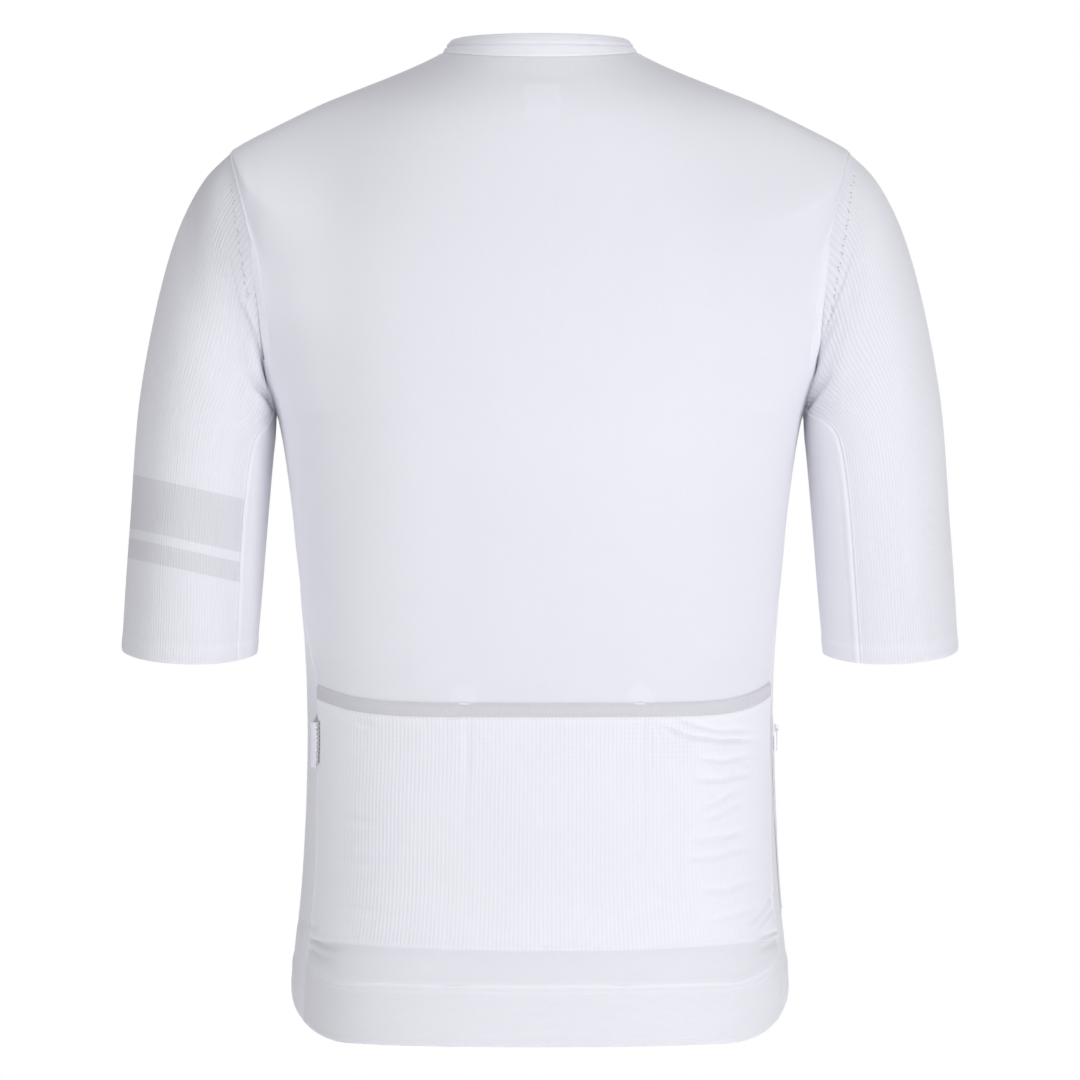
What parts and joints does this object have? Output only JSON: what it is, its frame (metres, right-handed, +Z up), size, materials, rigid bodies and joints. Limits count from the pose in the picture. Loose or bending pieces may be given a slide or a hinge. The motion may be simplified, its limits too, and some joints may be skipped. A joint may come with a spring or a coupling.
{
  "type": "cycling jersey",
  "caption": "Short-sleeved close-fitting white jersey in worn form, hollow, with a stand collar, full front zip, ribbed sleeves, back pockets under an elastic band and a gripper hem.",
  "frame": {"origin": "centre of the neck opening, level with the points where the collar seam crosses the shoulders", "axes": "+Z up towards the wearer's head, -Y the way the wearer faces, +X to the wearer's left"},
  "size_m": [0.5573, 0.2356, 0.6592],
  "materials": {
    "knit": "fine matt knit",
    "rib": "open ribbed mesh knit",
    "binding": "folded knit binding",
    "elastic": "flat woven elastic",
    "grip": "smooth doubled elastic",
    "ribbon": "woven ribbon",
    "zip_tape": "woven tape",
    "zip_plastic": "satin moulded plastic"
  },
  "bodies": {
    "garment": {"back_panel": "knit", "collar_edge": "binding", "collar_stand": "knit", "front_left": "knit", "front_right": "knit", "front_zip_chain": "zip_plastic", "front_zip_slider": "zip_plastic", "front_zip_tape": "zip_tape", "hem_band": "grip", "neck_label": "ribbon", "pocket_band": "elastic", "pocket_panel": "rib", "pocket_patch_left": "ribbon", "pocket_patch_right": "ribbon", "side_tab": "ribbon", "side_zip_chain": "zip_plastic", "side_zip_slider": "zip_plastic", "side_zip_tape": "zip_tape", "sleeve_left": "rib", "sleeve_right": "rib", "undersleeve_left": "knit", "undersleeve_right": "knit"},
    "front_pull": {"front_zip_pull": "zip_plastic"},
    "side_pull": {"side_zip_pull": "zip_plastic"}
  },
  "joints": [
    {"name": "front_pull_swing", "type": "hinge", "parent": "garment", "child": "front_pull", "pos_m": [0, -0.06534, -0.04463], "axis": [-1, 0, 0], "range_deg": [0, 150]},
    {"name": "side_pull_swing", "type": "hinge", "parent": "garment", "child": "side_pull", "pos_m": [-0.15696, 0.01189, -0.44908], "axis": [0.123, 0.9924, 0], "range_deg": [0, 165]}
  ]
}
